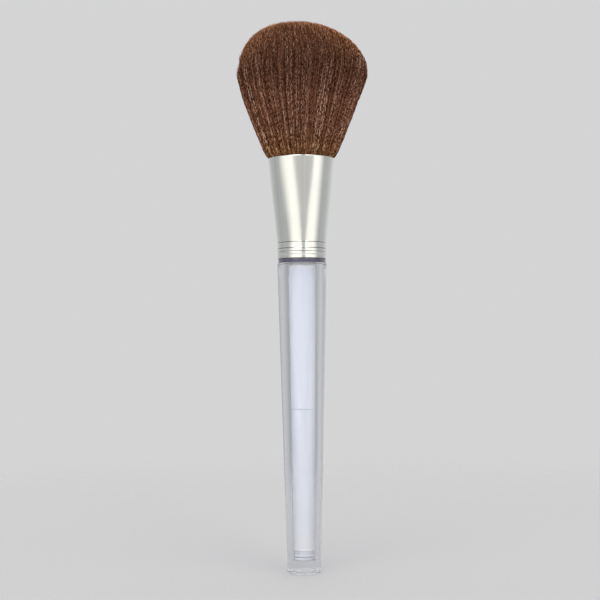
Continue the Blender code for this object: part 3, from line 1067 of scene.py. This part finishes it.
def room_colour(tree, axes, azimuth):
    """Grey walls with an uneven tone, which are the backdrop's grey straight behind the brush, and a
    paler ceiling."""
    depth = add_node(
        tree, "ShaderNodeMapRange", Value=axes.outputs["Y"], From_Min=-1.0, From_Max=1.0
    )
    walls = add_ramp(
        tree,
        depth.outputs["Result"],
        [
            (0.0, (0.555, 0.55, 0.54)),
            (0.3, (0.43, 0.445, 0.44)),
            (0.7, (0.43, 0.445, 0.445)),
            (1.0, BACKDROP),
        ],
    )
    sweep = add_node(
        tree, "ShaderNodeCombineXYZ", X=add_math(tree, "MULTIPLY", azimuth, CLUTTER_SCALE)
    )
    clutter = add_node(
        tree, "ShaderNodeTexNoise", Vector=sweep.outputs["Vector"], Scale=1.0, Detail=4.0
    )
    shade = add_ramp(
        tree, clutter.outputs["Fac"], [(0.3, (0.90, 0.90, 0.90)), (0.7, (1.10, 1.10, 1.10))]
    )
    walls = add_mix(tree, 1.0, walls, shade, "MULTIPLY")
    behind = add_math(tree, "MAXIMUM", axes.outputs["Y"], 0.0)
    tilt = add_math(tree, "MULTIPLY", axes.outputs["X"], behind)
    tilt = add_math(tree, "MULTIPLY", tilt, REAR_TILT)
    walls = add_mix(tree, 1.0, walls, add_math(tree, "ADD", tilt, 1.0), "MULTIPLY")
    lift = add_step(tree, axes.outputs["Z"], *CEILING_EDGE)
    return add_mix(tree, lift, walls, CEILING)


def inner_edges(tree, azimuth, elevation):
    """0 between the panels, which draw back round the camera, and 1 past their inner edges."""
    out = add_math(tree, "ABSOLUTE", add_math(tree, "SUBTRACT", azimuth, PANEL_MIDDLE))
    notch = add_diamond(tree, elevation, NOTCH_LEVEL, NOTCH_HEIGHT)
    notch = add_math(tree, "MULTIPLY", notch, NOTCH_WIDTH)
    beside = add_math(tree, "SUBTRACT", out, notch)
    right = add_math(tree, "GREATER_THAN", azimuth, PANEL_MIDDLE)
    left = add_math(tree, "SUBTRACT", 1.0, right)
    left_inner = add_step(tree, beside, *LEFT_INNER)
    right_inner = add_step(tree, beside, *RIGHT_INNER)
    right = add_math(tree, "MULTIPLY", right, right_inner)
    left = add_math(tree, "MULTIPLY", left, left_inner)
    return add_math(tree, "ADD", right, left)


def outer_edges(tree, azimuth, elevation):
    """1 inside the panels' outer edges, and 0 outside them."""
    bulge = add_diamond(tree, elevation, BULGE_LEVEL, BULGE_HEIGHT)
    shift = add_math(tree, "MULTIPLY", bulge, BULGE_SHIFT)
    middle = add_math(tree, "SUBTRACT", PANEL_MIDDLE, shift)
    far = add_math(tree, "ABSOLUTE", add_math(tree, "SUBTRACT", azimuth, middle))
    far = add_math(tree, "SUBTRACT", far, add_math(tree, "MULTIPLY", bulge, BULGE_WIDTH))
    return add_step(tree, far, *reversed(PANEL_OUTER))


def glow_band(tree, azimuth, elevation, inner):
    """1 in the bright band above the panels, and 0 outside it."""
    over = add_step(tree, elevation, *GLOW_FOOT)
    under = add_step(tree, elevation, *reversed(GLOW_TOP))
    aside = add_math(tree, "ABSOLUTE", add_math(tree, "SUBTRACT", azimuth, GLOW_MIDDLE))
    glow = add_math(tree, "MULTIPLY", over, under)
    glow = add_math(tree, "MULTIPLY", glow, add_step(tree, aside, *reversed(GLOW_SIDE)))
    return add_math(tree, "MULTIPLY", glow, inner)


def rear_fill(tree, axes, path):
    """1 low behind the brush and 0 elsewhere. It is 0 for the rays of polished and clear surfaces."""
    sharp = add_math(
        tree, "MAXIMUM", path.outputs["Is Glossy Ray"], path.outputs["Is Transmission Ray"]
    )
    fill = add_step(tree, axes.outputs["Y"], *FILL_EDGE)
    under = add_step(tree, axes.outputs["Z"], *reversed(FILL_TOP))
    fill = add_math(tree, "MULTIPLY", fill, under)
    fill = add_math(tree, "SUBTRACT", fill, sharp)
    return add_math(tree, "MAXIMUM", fill, 0.0)


def add_world():
    """The camera sees one pale grey. All other rays see the room and its lights."""
    world = bpy.data.worlds.new("studio")
    bpy.context.scene.world = world
    world.use_nodes = True
    tree = world.node_tree
    place = add_node(tree, "ShaderNodeTexCoord")
    axes = add_node(tree, "ShaderNodeSeparateXYZ", Vector=place.outputs["Generated"])
    front = add_math(tree, "MULTIPLY", axes.outputs["Y"], -1.0)
    azimuth = add_math(tree, "DEGREES", add_math(tree, "ARCTAN2", axes.outputs["X"], front))
    elevation = add_math(tree, "DEGREES", add_math(tree, "ARCSINE", axes.outputs["Z"]))
    room = room_colour(tree, axes, azimuth)
    inner = inner_edges(tree, azimuth, elevation)
    panel = add_math(tree, "MULTIPLY", inner, outer_edges(tree, azimuth, elevation))
    lit = add_mix(tree, panel, room, PANEL_COLOUR)
    glow = glow_band(tree, azimuth, elevation, inner)
    lit = add_mix(tree, glow, lit, grey(GLOW_TONE))
    path = add_node(tree, "ShaderNodeLightPath")
    lit = add_mix(tree, rear_fill(tree, axes, path), lit, grey(FILL_TONE))
    seen = add_mix(tree, path.outputs["Is Camera Ray"], lit, (*BACKDROP, 1.0))
    tree.links.new(seen, tree.nodes["Background"].inputs["Color"])


def add_floor():
    """A round pale floor that fades into the backdrop."""
    mesh = bpy.data.meshes.new("floor")
    piece = add_object("floor", mesh)
    turns = [math.tau * i / FLOOR_SIDES for i in range(FLOOR_SIDES)]
    points = [(FLOOR_RADIUS * math.cos(t), FLOOR_RADIUS * math.sin(t), -FLOOR_GAP) for t in turns]
    mesh.from_pydata(points, [], [tuple(range(FLOOR_SIDES))])
    material, tree, shader = start_material("floor")
    grain = add_noise(tree, 900.0, detail=4.0)
    colour = add_ramp(tree, grain, [(0.3, (0.59, 0.59, 0.606)), (0.7, (0.615, 0.615, 0.632))])
    set_shader(tree, shader, Base_Color=colour, Roughness=0.8, Specular_IOR_Level=0.2)
    place = add_node(tree, "ShaderNodeTexCoord")
    away = add_node(
        tree, "ShaderNodeVectorMath", (("operation", "LENGTH"),), Vector=place.outputs["Object"]
    )
    fade = add_step(tree, away.outputs["Value"], FLOOR_SOLID_RADIUS, FLOOR_RADIUS)
    show_mix(tree, fade, shader, add_node(tree, "ShaderNodeBsdfTransparent"))
    mesh.materials.append(material)


def add_lamp():
    """The lamp overhead, which the camera doesn't see."""
    data = bpy.data.lights.new("overhead", "AREA")
    data.shape = "DISK"
    data.size = LAMP_RADIUS * 2
    data.energy = LAMP_TONE * math.pi * math.pi * LAMP_RADIUS**2
    lamp = add_object("overhead", data)
    lamp.location = LAMP_PLACE
    lamp.visible_camera = False


def add_camera():
    data = bpy.data.cameras.new("camera")
    data.lens = CAMERA_LENS
    data.sensor_width = CAMERA_SENSOR
    data.clip_start = CAMERA_NEAR
    camera = add_object("camera", data)
    camera.matrix_world = (
        Matrix.Translation(CAMERA_PLACE)
        @ Matrix.Rotation(math.radians(90.0 + CAMERA_PITCH), 4, "X")
        @ Matrix.Rotation(math.radians(CAMERA_ROLL), 4, "Z")
    )
    bpy.context.scene.camera = camera


def finish_hidden_nodes():
    """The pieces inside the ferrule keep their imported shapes."""
    finishes = (
        ("hair_root", "resin_hair", (0.05, 0.025, 0.015), (0.10, 0.05, 0.03), 0.45, 700.0),
        ("binding_thread", "waxed_thread", (0.62, 0.57, 0.46), (0.78, 0.73, 0.62), 0.7, 1500.0),
        ("glue_plug", "cured_glue", (0.48, 0.36, 0.17), (0.60, 0.47, 0.24), 0.25, 250.0),
    )
    for name, *finish in finishes:
        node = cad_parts[name]
        node.data.materials.clear()
        node.data.materials.append(mottled(*finish))


bpy.context.scene.view_settings.view_transform = "Standard"
add_camera()
add_world()
add_floor()
add_lamp()
add_sleeve()
add_cores()
add_collar()
add_ferrule()
add_packed_core()
add_hair()
finish_hidden_nodes()

bpy.context.view_layer.update()
